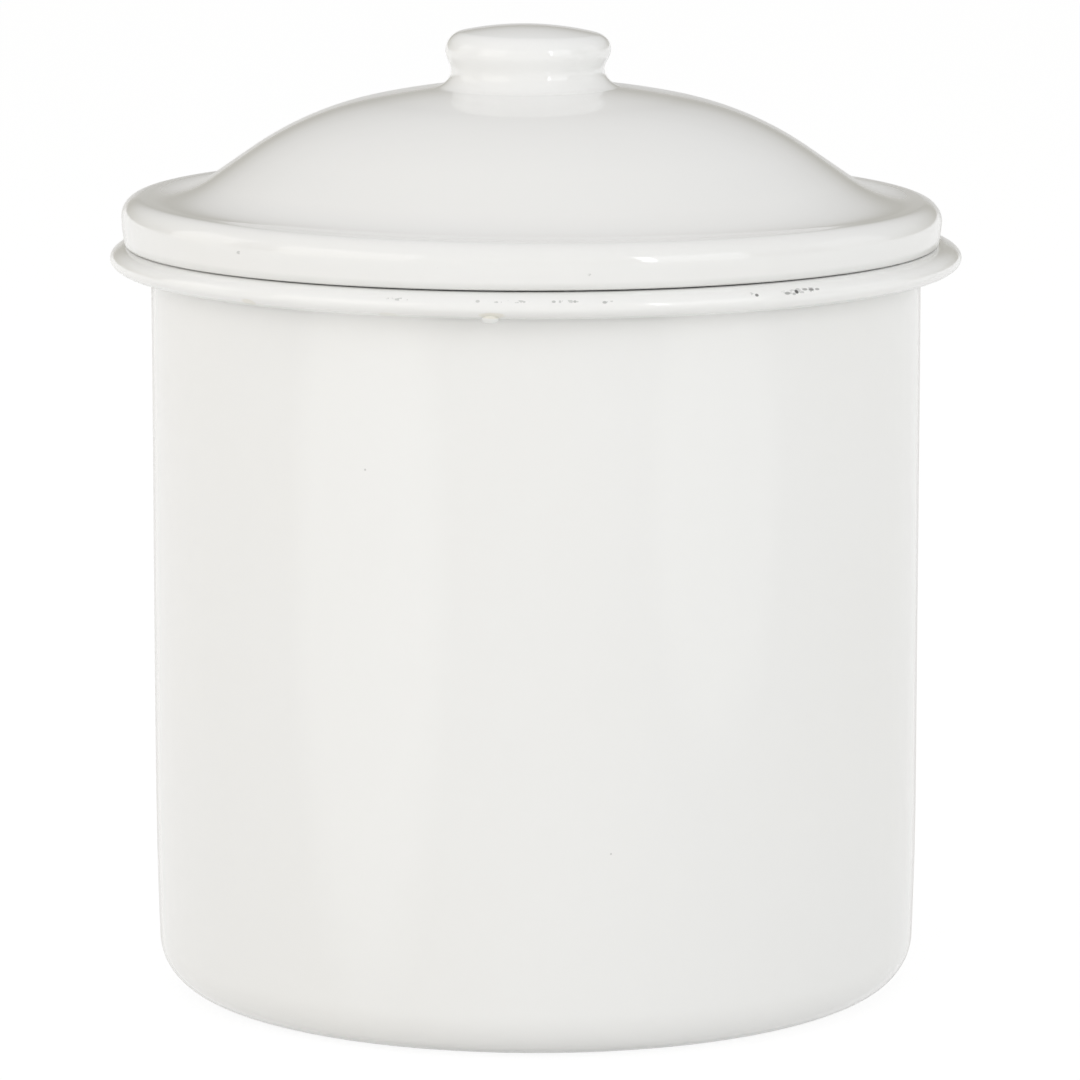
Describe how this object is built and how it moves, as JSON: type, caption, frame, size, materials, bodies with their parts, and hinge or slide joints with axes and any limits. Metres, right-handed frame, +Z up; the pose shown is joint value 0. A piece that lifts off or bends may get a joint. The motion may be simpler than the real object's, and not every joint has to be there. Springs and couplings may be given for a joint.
{
  "type": "enamel lidded jar",
  "caption": "Round white enamelled steel storage jar with a rolled rim, rounded base edge and a loose domed lid with a knob.",
  "frame": {"origin": "centre of the base, on the surface that the jar stands on", "axes": "+Z up along the jar's axis, -Y towards the picture's camera, +X to the right in the picture; the lid lies 1 mm towards -X in the mouth"},
  "size_m": [0.199, 0.199, 0.2266],
  "materials": {
    "jar_enamel": "glossy white vitreous enamel on pressed steel",
    "lid_enamel": "glossy white vitreous enamel on pressed steel",
    "knob_enamel": "glossy white vitreous enamel on pressed steel"
  },
  "bodies": {
    "jar": {"jar_body": "jar_enamel"},
    "lid": {"lid": "lid_enamel", "lid_collar": "lid_enamel", "knob": "knob_enamel"}
  },
  "joints": [
    {"name": "lid_lift", "type": "slide", "parent": "jar", "child": "lid", "axis": [0, 0, 1], "range_m": [0, 0.08]}
  ]
}
